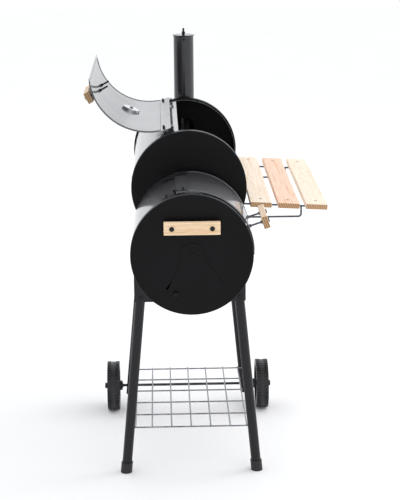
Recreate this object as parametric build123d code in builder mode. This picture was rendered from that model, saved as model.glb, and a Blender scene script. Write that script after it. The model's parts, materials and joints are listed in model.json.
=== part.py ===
from build123d import *
import math
import os

# Offset smoker: a barrel cooking chamber with a smaller side firebox, a chimney and a wheeled stand.
# X runs along the barrels from the firebox to the chimney, -Y is the shelf side, +Z is up, and the
# floor is Z = 0.  Everything is in millimetres.  The main lid stands open and all else is closed.

# ---------------------------------------------------------------- driving dimensions
SHEET = 1.5
SHELL_R = 150.0
CAP_R = 154.0
CAP_DEPTH = 20.0

FIREBOX_X = -470.0
FIREBOX_LENGTH = 309.0
MAIN_X = FIREBOX_X + FIREBOX_LENGTH
MAIN_LENGTH = 600.0
MAIN_END_X = MAIN_X + MAIN_LENGTH
FIREBOX_Z = 714.0
MAIN_Z = 820.0
AXIS_Y = 41.618

# Angles are measured from +Y (the back) over the top towards the front.
LID_R = 157.0
LID_START = 76.0
MAIN_LID_LIP = 183.0
FIREBOX_LID_LIP = 183.0
LID_INSET = 25.0
OPENING_INSET = 35.0
OPENING_START = 80.0
OPENING_SHORTFALL = 4.0
MAIN_LID_OPEN = 188.0

HINGE_ANGLE = 75.0
HINGE_R = 160.6
HINGE_INSET = 62.0
PIN_R = 2.0
PIN_PLAY = 0.08
KNUCKLE_R = 3.4
HINGE_WIDTH = 34.0
LEAF = 1.2

HANDLE_LENGTH = 140.0
HANDLE_WIDTH = 32.0
HANDLE_THICK = 16.0
HANDLE_STANDOFF = 26.0
HANDLE_ANGLE = 159.0
FIREBOX_HANDLE_ANGLE = 162.0
FIREBOX_HANDLE_STANDOFF = 34.0
HANDLE_BOLT_SPACING = 100.0
HANDLE_BOLT_R = 2.5
HANDLE_HEAD_R = 6.0
HANDLE_BOLT_INSIDE = 27.0
FRONT_HANDLE_Z = FIREBOX_Z + 76.0
FRONT_STANDOFF = 18.0

LEG_R = 13.5
LEG_WALL = 1.5
LEG_TOP_Z = 528.0
LEG_SPREAD = 136.0
LEG_SPREAD_Z = 500.0
LEG_SLOPE = 0.0954
NEAR_LEG_X = MAIN_X + 37.5
FAR_LEG_X = MAIN_X + 555.6
FAR_LEG_END_Z = 52.0
FOOT_R = 16.0
FOOT_HEIGHT = 30.0

AXLE_Z = 75.5
AXLE_R = 4.0
WHEEL_R = 75.5
WHEEL_WIDTH = 37.0
WHEEL_Y = 231.0
HUB_PLAY = 0.08
SPOKES = 8

RACK_Z = 131.5
RACK_WIRE_R = 2.0
RACK_CELL = 54.5
RACK_CROSS = 6
RACK_END_X = FAR_LEG_X - LEG_R - RACK_WIRE_R

BRACKET_HALF = 152.0
BRACKET_BOTTOM_Z = 500.0
BRACKET_DEPTH = 33.0
BRACKET_SHEET = 1.5

SLAT_WIDTH = 57.0
SLAT_GAP = 17.5
SLAT_THICK = 14.0
SLAT_INNER = 163.0
SLAT_TOP_Z = 784.0
SLAT_DROOP = 3.0
SLAT_LENGTH = 645.0
SLAT_START_X = FIREBOX_X + 290.0
SHELF_ROD_R = 2.5
SHELF_ROD_INSET = 47.0
SHELF_BRACE_Z = 730.0
SHELF_CORNER = 303.0

CHIMNEY_X = MAIN_END_X + 35.0
CHIMNEY_R = 30.0
CHIMNEY_WALL = 1.5
CHIMNEY_TOP_Z = 1156.0
ELBOW_Z = 880.0
CAP_PLATE_R = 33.0
CAP_TRAVEL = 18.0

SMOKE_WINDOW_Z = 768.0
SMOKE_WINDOW_R = 52.0

GRATE_Z = 790.0
GRATE_WIRE_R = 1.6

os.makedirs("parts", exist_ok=True)


# ---------------------------------------------------------------- helpers
def save(part, name):
    part.label = name
    export_step(part, f"parts/{name}.step")


def across(x):
    """The plane across the barrels at x: sketch x is +Y from the barrels' axis, sketch y is +Z."""
    return Plane(origin=(x, AXIS_Y, 0), x_dir=(0, 1, 0), z_dir=(1, 0, 0))


def polar(radius, angle, height):
    """A point of the cross-section at an angle about a barrel axis at the given height."""
    turn = math.radians(angle)
    return (radius * math.cos(turn), height + radius * math.sin(turn))


def pie(angle_from, angle_to, height):
    """The wedge of a cross-section between two angles about a barrel axis."""
    far = 3 * SHELL_R
    middle = (angle_from + angle_to) / 2
    corners = [(0, height)]
    for angle in (angle_from, middle, angle_to):
        corners.append(polar(far, angle, height))
    return Polygon(*corners, align=None, mode=Mode.INTERSECT)


def radial_plane(x, angle, height, radius):
    """A plane on a barrel surface whose normal points straight out and whose x runs along +X."""
    y, z = polar(radius, angle, height)
    turn = math.radians(angle)
    outward = (0, math.cos(turn), math.sin(turn))
    return Plane(origin=(x, AXIS_Y + y, z), x_dir=(1, 0, 0), z_dir=outward)


def hinge_axis(height):
    """The axis of a lid's hinge pins, as it lies in the closed and in the open lid."""
    y, z = polar(HINGE_R, HINGE_ANGLE, height)
    return Axis((0, AXIS_Y + y, z), (1, 0, 0))


def bar(start, end, radius, mode=Mode.ADD):
    """A round bar, wire or drilled hole between two points, added to the part being built."""
    start = Vector(start)
    reach = Vector(end) - start
    with Locations(Plane(origin=start, z_dir=reach).location):
        Cylinder(radius, reach.length, align=(Align.CENTER, Align.CENTER, Align.MIN), mode=mode)


def disc(plane, low, high, radius, mode=Mode.ADD):
    """A round of material or a bore along a plane's normal, between two heights above it."""
    with Locations(plane.offset(low).location):
        Cylinder(radius, high - low, align=(Align.CENTER, Align.CENTER, Align.MIN), mode=mode)


def bolt(plane, head_r, head_height, shank_r, length):
    """A round-headed bolt: its head stands on the plane and its shank runs down through it."""
    with BuildPart() as fastener:
        disc(plane, 0, head_height, head_r)
        fillet(fastener.edges().filter_by(GeomType.CIRCLE), min(head_height, head_r) * 0.3)
        disc(plane, -length, 0, shank_r)
    return fastener.part


def nut(plane, low, height, flat_r, bore_r):
    """A hexagon nut above a plane, with its bore clear of the bolt."""
    with BuildPart() as hexagon:
        with BuildSketch(plane.offset(low)):
            RegularPolygon(flat_r, 6, major_radius=False)
            Circle(bore_r, mode=Mode.SUBTRACT)
        extrude(amount=height)
    return hexagon.part


def group(pieces, name, finish=None):
    """Write several separate solids as one node."""
    if finish:
        pieces = [finish(piece) for piece in pieces]
    save(Compound(children=pieces), name)


def open_main_lid(part):
    """Main lid pieces are drawn closed, then turned about the hinge to where the lid stands."""
    return part.rotate(hinge_axis(MAIN_Z), -MAIN_LID_OPEN)


# ---------------------------------------------------------------- where the fasteners go
MAIN_LID_X = (MAIN_X + LID_INSET, MAIN_END_X - LID_INSET)
FIREBOX_LID_X = (FIREBOX_X + LID_INSET, MAIN_X - LID_INSET)
MAIN_MIDDLE_X = (MAIN_X + MAIN_END_X) / 2
FIREBOX_MIDDLE_X = (FIREBOX_X + MAIN_X) / 2
MAIN_HINGES_X = (MAIN_X + HINGE_INSET, MAIN_END_X - HINGE_INSET)
FIREBOX_HINGES_X = (FIREBOX_X + HINGE_INSET, MAIN_X - HINGE_INSET)
LEG_PLANES_X = (NEAR_LEG_X, FAR_LEG_X)

SCREW_R = 1.8
SCREW_HOLE_R = 1.9
SCREW_HEAD_R = 3.6
HINGE_SCREW_OFFSET = 10.0
BARREL_SCREW_ANGLE = 66.0
LID_SCREW_ANGLE = 83.0
SADDLE_BOLT_ANGLES = (240.0, 300.0)
SADDLE_HORN_ANGLES = (218.0, 322.0)
GRATE_SCREW_BACK_Z = (784.0, 842.0)
GRATE_SCREW_FRONT_Z = (784.0, 806.0)
GRATE_BRACKET_X = (MAIN_X + 37.0, MAIN_END_X - 37.0)
SHELF_RODS_X = (SLAT_START_X + SHELF_ROD_INSET + 9, SLAT_START_X + SLAT_LENGTH - SHELF_ROD_INSET - 9)


def hinge_screw_planes(hinges_x, height, angle, radius):
    """Where the two screws of each hinge leaf stand on a barrel or on its lid."""
    planes = []
    for hinge_x in hinges_x:
        for offset in (-HINGE_SCREW_OFFSET, HINGE_SCREW_OFFSET):
            planes.append(radial_plane(hinge_x + offset, angle, height, radius))
    return planes


def saddle_planes():
    """Where each saddle is bolted to the underside of the main chamber."""
    return [radial_plane(x, angle, MAIN_Z, SHELL_R + BRACKET_SHEET)
            for x in LEG_PLANES_X for angle in SADDLE_BOLT_ANGLES]


def grate_screw_planes():
    """Where the screws of the grate brackets enter the main chamber, square to the shell's side."""
    planes = []
    for x in GRATE_BRACKET_X:
        for side, heights in ((1, GRATE_SCREW_BACK_Z), (-1, GRATE_SCREW_FRONT_Z)):
            for z in heights:
                reach = math.sqrt(SHELL_R ** 2 - (z - MAIN_Z) ** 2) + 1
                planes.append(Plane(origin=(x, AXIS_Y + side * reach, z), x_dir=(1, 0, 0), z_dir=(0, side, 0)))
    return planes


def shelf_point(x, outward, drop):
    """A point of the drooping shelf: outward from its inner edge, and below its top face."""
    droop = math.radians(SLAT_DROOP)
    y = AXIS_Y - SLAT_INNER - outward * math.cos(droop) + drop * math.sin(droop)
    z = SLAT_TOP_Z - outward * math.sin(droop) - drop * math.cos(droop)
    return (x, y, z)


SHELF_ROD_DROP = SLAT_THICK + 1 + SHELF_ROD_R
SHELF_ROD_START = -32.0
SHELF_BRACE_START = AXIS_Y - 112.0


# ---------------------------------------------------------------- barrels
def barrel_shell(start_x, end_x, height, lip, screws):
    """A rolled sheet barrel with a rectangular lid opening and holes for its hinge screws."""
    with BuildPart() as shell:
        with BuildSketch(across(start_x)):
            with Locations((0, height)):
                Circle(SHELL_R)
                Circle(SHELL_R - SHEET, mode=Mode.SUBTRACT)
        extrude(amount=end_x - start_x)
        with BuildSketch(across(start_x + OPENING_INSET)):
            with Locations((0, height)):
                Circle(SHELL_R + 5)
                Circle(SHELL_R - 10, mode=Mode.SUBTRACT)
            pie(OPENING_START, lip - OPENING_SHORTFALL, height)
        extrude(amount=end_x - start_x - 2 * OPENING_INSET, mode=Mode.SUBTRACT)
        for plane in screws:
            disc(plane, -5, 5, SCREW_HOLE_R, Mode.SUBTRACT)
    return shell.part


def end_cap(face_x, inward, height, windows):
    """A pressed end cap: a flat disc with a rounded edge and a flange around the shell's end."""
    with BuildPart() as cap:
        with BuildSketch(across(face_x)):
            with Locations((0, height)):
                Circle(CAP_R)
        extrude(amount=inward * CAP_DEPTH)
        with BuildSketch(across(face_x + inward * SHEET)):
            with Locations((0, height)):
                Circle(SHELL_R)
        extrude(amount=inward * CAP_DEPTH, mode=Mode.SUBTRACT)
        rims = cap.edges().filter_by(GeomType.CIRCLE).filter_by(lambda edge: edge.radius > CAP_R - 0.01)
        fillet(rims.sort_by(Axis.X)[0 if inward > 0 else -1], 3.0)
        for window_y, window_z, window_r in windows:
            with BuildSketch(across(face_x)):
                with Locations((window_y, window_z)):
                    Circle(window_r)
            extrude(amount=inward * SHEET * 2, mode=Mode.SUBTRACT)
    return cap.part


# The firebox is bolted to the main chamber at four points around the smoke window.
JOINT_BOLTS = [(60 * math.cos(math.radians(a)), SMOKE_WINDOW_Z + 60 * math.sin(math.radians(a)), 3.1)
               for a in (0, 90, 180, 270)]
ELBOW_BOLTS = [(40 * math.cos(math.radians(a)), ELBOW_Z + 40 * math.sin(math.radians(a)), 2.6)
               for a in (45, 135, 225, 315)]
SMOKE_WINDOW = (0, SMOKE_WINDOW_Z, SMOKE_WINDOW_R)

main_shell_screws = hinge_screw_planes(MAIN_HINGES_X, MAIN_Z, BARREL_SCREW_ANGLE, SHELL_R + LEAF)
firebox_shell_screws = hinge_screw_planes(FIREBOX_HINGES_X, FIREBOX_Z, BARREL_SCREW_ANGLE, SHELL_R + LEAF)

with BuildPart() as main_barrel_shell:
    add(barrel_shell(MAIN_X + SHEET, MAIN_END_X - SHEET, MAIN_Z, MAIN_LID_LIP, main_shell_screws))
    for plane in saddle_planes():
        disc(plane, -8, 5, 3.1, Mode.SUBTRACT)
    for plane in grate_screw_planes():
        disc(plane, -12, 5, 2.6, Mode.SUBTRACT)
    for rod_x in SHELF_RODS_X:
        bar(shelf_point(rod_x, SHELF_ROD_START, SHELF_ROD_DROP), shelf_point(rod_x, 0, SHELF_ROD_DROP),
            SHELF_ROD_R + 0.1, Mode.SUBTRACT)
        bar((rod_x, SHELF_BRACE_START, SHELF_BRACE_Z), (rod_x, AXIS_Y - 150, SHELF_BRACE_Z),
            SHELF_ROD_R + 0.1, Mode.SUBTRACT)
save(main_barrel_shell.part, "main_barrel_shell")
save(end_cap(MAIN_X, 1, MAIN_Z, [SMOKE_WINDOW] + JOINT_BOLTS), "main_near_cap")
CHIMNEY_WINDOW = (0, ELBOW_Z, CHIMNEY_R)
save(end_cap(MAIN_END_X, -1, MAIN_Z, [CHIMNEY_WINDOW] + ELBOW_BOLTS), "main_far_cap")
save(barrel_shell(FIREBOX_X + SHEET, MAIN_X, FIREBOX_Z, FIREBOX_LID_LIP, firebox_shell_screws),
     "firebox_shell")

# The firebox's rear cap sits inside its shell and is bolted flat to the main chamber's cap.
REAR_CAP_DEPTH = 15.0
with BuildPart() as firebox_rear_cap:
    with BuildSketch(across(MAIN_X)):
        with Locations((0, FIREBOX_Z)):
            Circle(SHELL_R - SHEET)
    extrude(amount=-REAR_CAP_DEPTH)
    with BuildSketch(across(MAIN_X - SHEET)):
        with Locations((0, FIREBOX_Z)):
            Circle(SHELL_R - 2 * SHEET)
    extrude(amount=-REAR_CAP_DEPTH, mode=Mode.SUBTRACT)
    with BuildSketch(across(MAIN_X)):
        for window_y, window_z, window_r in [SMOKE_WINDOW] + JOINT_BOLTS:
            with Locations((window_y, window_z)):
                Circle(window_r)
    extrude(amount=-SHEET * 2, mode=Mode.SUBTRACT)
save(firebox_rear_cap.part, "firebox_rear_cap")


def facing(x, y, z, outward):
    """A plane across the barrels at a point given from their axis, looking out along X."""
    return Plane(origin=(x, AXIS_Y + y, z), x_dir=(0, 1, 0), z_dir=(outward, 0, 0))


joint_planes = [facing(MAIN_X - SHEET, y, z, -1) for y, z, _ in JOINT_BOLTS]
joint_bolts = [bolt(plane, 5.5, 4, 3, 12) for plane in joint_planes]
joint_bolts += [nut(plane, -2 * SHEET - 5, 5, 5, 3.05) for plane in joint_planes]
group(joint_bolts, "firebox_joint_bolts")

# ---------------------------------------------------------------- air vent in the firebox's front
VENT_PIVOT_Z = FIREBOX_Z
VENT_NECK_R = 32.0
VENT_ARC_R = 117.0
VENT_BACK_EDGE = -56.0
VENT_FRONT_EDGE = -136.0
VENT_NECK_TURN = 32.0
VENT_GAP = 0.4
VENT_SHEET = 1.5
VENT_RIVET_R = 3.0
VENT_KNOB_R = 6.5
VENT_KNOB_ANGLE = -67.0
VENT_KNOB_AT = 106.0
VENT_SLOT = (42.0, 107.0, -127.0, -51.5)

with BuildPart() as firebox_front_cap:
    add(end_cap(FIREBOX_X, 1, FIREBOX_Z, [(0, VENT_PIVOT_Z, VENT_RIVET_R + 0.1)]))
    with BuildSketch(across(FIREBOX_X)):
        with Locations((0, VENT_PIVOT_Z)):
            Circle(VENT_SLOT[1])
            Circle(VENT_SLOT[0], mode=Mode.SUBTRACT)
        pie(VENT_SLOT[2], VENT_SLOT[3], VENT_PIVOT_Z)
    extrude(amount=SHEET, mode=Mode.SUBTRACT)
    for bolt_y in (-HANDLE_BOLT_SPACING / 2, HANDLE_BOLT_SPACING / 2):
        disc(facing(FIREBOX_X, bolt_y, FRONT_HANDLE_Z, -1), -SHEET * 2, 1, HANDLE_BOLT_R + 0.1,
             Mode.SUBTRACT)
save(firebox_front_cap.part, "firebox_front_cap")

vent_face_x = FIREBOX_X - VENT_GAP
with BuildPart() as vent_plate:
    with BuildSketch(across(vent_face_x)):
        with BuildLine():
            fan_back = polar(VENT_ARC_R, VENT_BACK_EDGE, VENT_PIVOT_Z)
            fan_front = polar(VENT_ARC_R, VENT_FRONT_EDGE, VENT_PIVOT_Z)
            fan_bottom = polar(VENT_ARC_R, (VENT_BACK_EDGE + VENT_FRONT_EDGE) / 2, VENT_PIVOT_Z)
            neck_front = polar(VENT_NECK_R, VENT_FRONT_EDGE - VENT_NECK_TURN, VENT_PIVOT_Z)
            neck_back = polar(VENT_NECK_R, VENT_BACK_EDGE + VENT_NECK_TURN, VENT_PIVOT_Z)
            ThreePointArc(fan_back, fan_bottom, fan_front)
            Line(fan_front, neck_front)
            ThreePointArc(neck_front, (0, VENT_PIVOT_Z + VENT_NECK_R), neck_back)
            Line(neck_back, fan_back)
        make_face()
        with Locations((0, VENT_PIVOT_Z)):
            Circle(VENT_RIVET_R + PIN_PLAY, mode=Mode.SUBTRACT)
    extrude(amount=-VENT_SHEET)
    fillet(vent_plate.edges().filter_by(Axis.X).group_by(Axis.Z)[0], 6)
    fillet(vent_plate.edges().group_by(Axis.X)[0], 0.5)
    knob_y, knob_z = polar(VENT_KNOB_AT, VENT_KNOB_ANGLE, VENT_PIVOT_Z)
    knob_plane = facing(vent_face_x - VENT_SHEET, knob_y, knob_z, -1)
    disc(knob_plane, -VENT_SHEET * 2, VENT_SHEET, 2.6, Mode.SUBTRACT)
save(vent_plate.part, "vent_plate")

with BuildPart() as vent_knob:
    disc(knob_plane, -VENT_SHEET, 0, 2.6)
    disc(knob_plane, 0, 9, VENT_KNOB_R)
    fillet(vent_knob.edges().filter_by(GeomType.CIRCLE).sort_by(Axis.X)[0], 2.5)
save(vent_knob.part, "vent_knob")

vent_pivot = facing(vent_face_x - VENT_SHEET, 0, VENT_PIVOT_Z, -1)
with BuildPart() as vent_rivet:
    disc(vent_pivot, 0.3, 3.0, 6.0)
    fillet(vent_rivet.edges().sort_by(Axis.X)[0], 1.6)
    disc(vent_pivot, -VENT_SHEET - VENT_GAP - SHEET, 0.3, VENT_RIVET_R)
    disc(vent_pivot, -VENT_SHEET - VENT_GAP - SHEET - 1.6, -VENT_SHEET - VENT_GAP - SHEET, 5.0)
save(vent_rivet.part, "vent_rivet")


# ---------------------------------------------------------------- wooden handles
def handle_planes(plane):
    """The two bolt centres of a handle whose middle is at the plane's origin."""
    half = HANDLE_BOLT_SPACING / 2
    return [Plane(origin=plane.from_local_coords((side * half, 0, 0)), x_dir=plane.x_dir, z_dir=plane.z_dir)
            for side in (-1, 1)]


def handle_grip(plane, standoff):
    """A planed wooden bar held off a surface, with a clear hole for each bolt."""
    with BuildPart() as grip:
        with BuildSketch(plane.offset(standoff)):
            Rectangle(HANDLE_LENGTH, HANDLE_WIDTH)
        extrude(amount=HANDLE_THICK)
        fillet(grip.edges(), 2.0)
        for bolt_plane in handle_planes(plane):
            disc(bolt_plane, standoff - 1, standoff + HANDLE_THICK + 1, HANDLE_BOLT_R + 0.1, Mode.SUBTRACT)
    return grip.part


def handle_bolts(plane, standoff, inside):
    """Each bolt is locked by a nut under the grip and by one on each side of the sheet."""
    top = standoff + HANDLE_THICK
    fasteners = []
    for bolt_plane in handle_planes(plane):
        fasteners.append(bolt(bolt_plane.offset(top), HANDLE_HEAD_R, 3.0, HANDLE_BOLT_R, top + inside))
        for low in (standoff - 4.2, 0.4, -SHEET - 4.6):
            fasteners.append(nut(bolt_plane, low, 4.0, 4.2, HANDLE_BOLT_R + 0.05))
    return fasteners


main_handle = radial_plane(MAIN_MIDDLE_X, HANDLE_ANGLE, MAIN_Z, LID_R)
firebox_handle = radial_plane(FIREBOX_MIDDLE_X, FIREBOX_HANDLE_ANGLE, FIREBOX_Z, LID_R)
front_handle = Plane(origin=(FIREBOX_X, AXIS_Y, FRONT_HANDLE_Z), x_dir=(0, 1, 0), z_dir=(-1, 0, 0))

save(open_main_lid(handle_grip(main_handle, HANDLE_STANDOFF)), "main_lid_handle")
group(handle_bolts(main_handle, HANDLE_STANDOFF, HANDLE_BOLT_INSIDE), "main_handle_bolts", open_main_lid)
save(handle_grip(firebox_handle, FIREBOX_HANDLE_STANDOFF), "firebox_lid_handle")
group(handle_bolts(firebox_handle, FIREBOX_HANDLE_STANDOFF, HANDLE_BOLT_INSIDE), "firebox_handle_bolts")

save(handle_grip(front_handle, FRONT_STANDOFF), "front_handle")
front_fittings = []
for plane in handle_planes(front_handle):
    with BuildPart() as spacer:
        disc(plane, 0, FRONT_STANDOFF, 5.0)
        disc(plane, 0, FRONT_STANDOFF, HANDLE_BOLT_R + 0.1, Mode.SUBTRACT)
    front_fittings.append(bolt(plane.offset(FRONT_STANDOFF + HANDLE_THICK), HANDLE_HEAD_R, 3.0, HANDLE_BOLT_R,
                               FRONT_STANDOFF + HANDLE_THICK + 8.0))
    front_fittings.append(nut(plane, -SHEET - 4.2, 4.0, 4.2, HANDLE_BOLT_R + 0.05))
    front_fittings.append(spacer.part)
group(front_fittings, "front_handle_bolts")


# ---------------------------------------------------------------- lids
def lid_sheet(span_x, height, lip, holes):
    """A rolled lid that laps over the barrel's opening, drilled for what is bolted to it."""
    with BuildPart() as lid:
        with BuildSketch(across(span_x[0])):
            with Locations((0, height)):
                Circle(LID_R)
                Circle(LID_R - SHEET, mode=Mode.SUBTRACT)
            pie(LID_START, lip, height)
        extrude(amount=span_x[1] - span_x[0])
        corners = lid.edges().filter_by(lambda edge: abs(edge.length - SHEET) < 0.01)
        fillet(corners.sort_by(Axis.Y)[:2], 8.0)
        for plane, radius in holes:
            disc(plane, -6, 6, radius, Mode.SUBTRACT)
    return lid.part


THERMOMETER_ANGLE = 118.0
THERMOMETER_X = MAIN_MIDDLE_X + 40.0
THERMOMETER_R = 25.0
gauge = radial_plane(THERMOMETER_X, THERMOMETER_ANGLE, MAIN_Z, LID_R)

main_lid_screws = hinge_screw_planes(MAIN_HINGES_X, MAIN_Z, LID_SCREW_ANGLE, LID_R + LEAF)
firebox_lid_screws = hinge_screw_planes(FIREBOX_HINGES_X, FIREBOX_Z, LID_SCREW_ANGLE, LID_R + LEAF)
main_lid_holes = [(plane, SCREW_HOLE_R) for plane in main_lid_screws]
main_lid_holes += [(plane, HANDLE_BOLT_R + 0.1) for plane in handle_planes(main_handle)]
main_lid_holes += [(gauge, THERMOMETER_R + 0.1)]
firebox_lid_holes = [(plane, SCREW_HOLE_R) for plane in firebox_lid_screws]
firebox_lid_holes += [(plane, HANDLE_BOLT_R + 0.1) for plane in handle_planes(firebox_handle)]
save(open_main_lid(lid_sheet(MAIN_LID_X, MAIN_Z, MAIN_LID_LIP, main_lid_holes)), "main_lid")
save(lid_sheet(FIREBOX_LID_X, FIREBOX_Z, FIREBOX_LID_LIP, firebox_lid_holes), "firebox_lid")

# ---------------------------------------------------------------- butt hinges
KNUCKLE_HALF = 5.6
KNUCKLE_GAP = 0.4


def knuckle(height):
    """The round eye of a hinge leaf, bored to turn on the pin."""
    with Locations(polar(HINGE_R, HINGE_ANGLE, height)):
        Circle(KNUCKLE_R)


def pin_bore(height):
    with Locations(polar(HINGE_R, HINGE_ANGLE, height)):
        Circle(PIN_R + PIN_PLAY, mode=Mode.SUBTRACT)


def leaf_strip(hinge_x, height, radius, angle_from, angle_to, screws):
    """The curved plate of a leaf, drilled for its screws."""
    with BuildPart() as strip:
        with BuildSketch(across(hinge_x - HINGE_WIDTH / 2)):
            with Locations((0, height)):
                Circle(radius + LEAF)
                Circle(radius, mode=Mode.SUBTRACT)
            pie(angle_from, angle_to, height)
        extrude(amount=HINGE_WIDTH)
        for plane in screws:
            disc(plane, -5, 5, SCREW_HOLE_R, Mode.SUBTRACT)
    return strip.part


def barrel_leaf(hinge_x, height, screws):
    """The fixed leaf: its two outer knuckles stand on webs above the shell."""
    with BuildPart() as leaf:
        add(leaf_strip(hinge_x, height, SHELL_R, 61.0, 76.0, screws))
        for low, high in ((-HINGE_WIDTH / 2, -KNUCKLE_HALF - KNUCKLE_GAP),
                          (KNUCKLE_HALF + KNUCKLE_GAP, HINGE_WIDTH / 2)):
            with BuildSketch(across(hinge_x + low)):
                knuckle(height)
                Polygon(polar(SHELL_R + 0.4, 74.2, height), polar(SHELL_R + 0.4, 75.0, height),
                        polar(HINGE_R - 2.6, 75.0, height), polar(HINGE_R - 2.6, 74.2, height), align=None)
                pin_bore(height)
            extrude(amount=high - low)
    return leaf.part


def lid_leaf(hinge_x, height, screws):
    """The moving leaf: its middle knuckle is rolled from the plate that is screwed to the lid."""
    with BuildPart() as leaf:
        add(leaf_strip(hinge_x, height, LID_R, 78.0, 87.0, screws))
        with BuildSketch(across(hinge_x - KNUCKLE_HALF)):
            with Locations((0, height)):
                Circle(LID_R + LEAF)
                Circle(LID_R, mode=Mode.SUBTRACT)
            pie(75.0, 80.0, height)
            knuckle(height)
            pin_bore(height)
        extrude(amount=2 * KNUCKLE_HALF)
    return leaf.part


def hinge_pin(hinge_x, height):
    """A riveted pin with a head at each end."""
    y, z = polar(HINGE_R, HINGE_ANGLE, height)
    with BuildPart() as pin:
        end = Plane(origin=(hinge_x - HINGE_WIDTH / 2, AXIS_Y + y, z), x_dir=(0, 1, 0), z_dir=(1, 0, 0))
        disc(end, -0.2, HINGE_WIDTH + 0.2, PIN_R)
        disc(end, -1.6, -0.2, PIN_R + 0.9)
        disc(end, HINGE_WIDTH + 0.2, HINGE_WIDTH + 1.6, PIN_R + 0.9)
    return pin.part


def hinge_screws(planes):
    """The small screws of the leaves, each with its nut inside the sheet."""
    screws = [bolt(plane, SCREW_HEAD_R, 2.0, SCREW_R, 9.0) for plane in planes]
    return screws + [nut(plane, -LEAF - SHEET - 3.4, 3.0, 3.4, SCREW_R + 0.05) for plane in planes]


fixed_leaves = [barrel_leaf(x, MAIN_Z, main_shell_screws) for x in MAIN_HINGES_X]
fixed_leaves += [barrel_leaf(x, FIREBOX_Z, firebox_shell_screws) for x in FIREBOX_HINGES_X]
group(fixed_leaves, "hinge_fixed_leaves")
hinge_pins = [hinge_pin(x, MAIN_Z) for x in MAIN_HINGES_X]
group(hinge_pins + [hinge_pin(x, FIREBOX_Z) for x in FIREBOX_HINGES_X], "hinge_pins")
group(hinge_screws(main_shell_screws + firebox_shell_screws), "hinge_fixed_screws")
group([lid_leaf(x, MAIN_Z, main_lid_screws) for x in MAIN_HINGES_X], "main_hinge_lid_leaves", open_main_lid)
group(hinge_screws(main_lid_screws), "main_hinge_lid_screws", open_main_lid)
group([lid_leaf(x, FIREBOX_Z, firebox_lid_screws) for x in FIREBOX_HINGES_X], "firebox_hinge_lid_leaves")
group(hinge_screws(firebox_lid_screws), "firebox_hinge_lid_screws")

# ---------------------------------------------------------------- thermometer in the main lid
CASE_INSIDE = 9.5
CASE_OUTSIDE = 6.0
NEEDLE_COLD = 150.0
STEM_R = 3.0
STEM_PROUD = 5.0
STEM_NUT = 2.5
with BuildPart() as thermometer_case:
    disc(gauge, -CASE_INSIDE, CASE_OUTSIDE, THERMOMETER_R)
    fillet(thermometer_case.edges().filter_by(GeomType.CIRCLE), 1.5)
    disc(gauge, 0.3, 1.8, THERMOMETER_R + 3)
    disc(gauge, 1.8, CASE_OUTSIDE + 1, THERMOMETER_R - 2, Mode.SUBTRACT)
    disc(gauge, -CASE_INSIDE - 1, 2.5, STEM_R + 0.1, Mode.SUBTRACT)

with BuildPart() as thermometer_dial:
    disc(gauge, 1.8, 2.6, THERMOMETER_R - 2.3)
    disc(gauge, 1.0, 3.0, STEM_R + 0.1, Mode.SUBTRACT)
save(open_main_lid(thermometer_dial.part), "thermometer_dial")

with BuildPart() as thermometer_needle:
    disc(gauge, 3.2, 4.2, 2.6)
    with BuildSketch(gauge.offset(3.4)):
        Polygon((-1.2, -6), (1.2, -6), (0.3, 19), (-0.3, 19), rotation=NEEDLE_COLD, align=None)
    extrude(amount=0.5)
save(open_main_lid(thermometer_needle.part), "thermometer_needle")

with BuildPart() as thermometer_glass:
    disc(gauge, 5.0, 6.4, THERMOMETER_R - 2.2)
save(open_main_lid(thermometer_glass.part), "thermometer_glass")

with BuildPart() as thermometer_bezel:
    disc(gauge, 6.0, 8.0, THERMOMETER_R)
    disc(gauge, 6.4, 9.0, THERMOMETER_R - 4, Mode.SUBTRACT)
    disc(gauge, 5.0, 6.5, THERMOMETER_R - 2.2, Mode.SUBTRACT)
    bezel_edges = thermometer_bezel.edges().filter_by(GeomType.CIRCLE)
    fillet(bezel_edges.filter_by(lambda edge: abs(edge.radius - THERMOMETER_R) < 0.01), 0.6)
group([thermometer_case.part, thermometer_bezel.part], "thermometer_case", open_main_lid)

with BuildPart() as thermometer_stem:
    disc(gauge, -CASE_INSIDE - STEM_PROUD, 2.4, STEM_R)
    fillet(thermometer_stem.edges().filter_by(GeomType.CIRCLE), 0.8)
group([thermometer_stem.part, nut(gauge, -CASE_INSIDE - STEM_NUT, STEM_NUT, 5.0, STEM_R + 0.05)],
      "thermometer_stem", open_main_lid)

# ---------------------------------------------------------------- chimney
ELBOW_R = CHIMNEY_R + CHIMNEY_WALL
ELBOW_TOP_Z = 944.0
FLANGE_R = 48.0
with BuildPart() as chimney_elbow:
    for radius, mode in ((ELBOW_R, Mode.ADD), (CHIMNEY_R, Mode.SUBTRACT)):
        with BuildLine() as route:
            Polyline((MAIN_END_X, AXIS_Y, ELBOW_Z), (CHIMNEY_X, AXIS_Y, ELBOW_Z),
                     (CHIMNEY_X, AXIS_Y, ELBOW_TOP_Z))
        with BuildSketch(across(MAIN_END_X)):
            with Locations((0, ELBOW_Z)):
                Circle(radius)
        sweep(path=route.wires()[0], transition=Transition.RIGHT, mode=mode)
        if mode == Mode.ADD:
            disc(facing(MAIN_END_X, 0, ELBOW_Z, 1), 0, 2, FLANGE_R)
    for bolt_y, bolt_z, hole_r in ELBOW_BOLTS:
        disc(facing(MAIN_END_X, bolt_y, bolt_z, 1), -1, 3, hole_r, Mode.SUBTRACT)
save(chimney_elbow.part, "chimney_elbow")
elbow_planes = [facing(MAIN_END_X + 2, y, z, 1) for y, z, _ in ELBOW_BOLTS]
chimney_fasteners = [bolt(plane, 4.5, 3, 2.5, 10) for plane in elbow_planes]
chimney_fasteners += [nut(plane, -2 - SHEET - 4.2, 4, 4, 2.55) for plane in elbow_planes]

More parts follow.
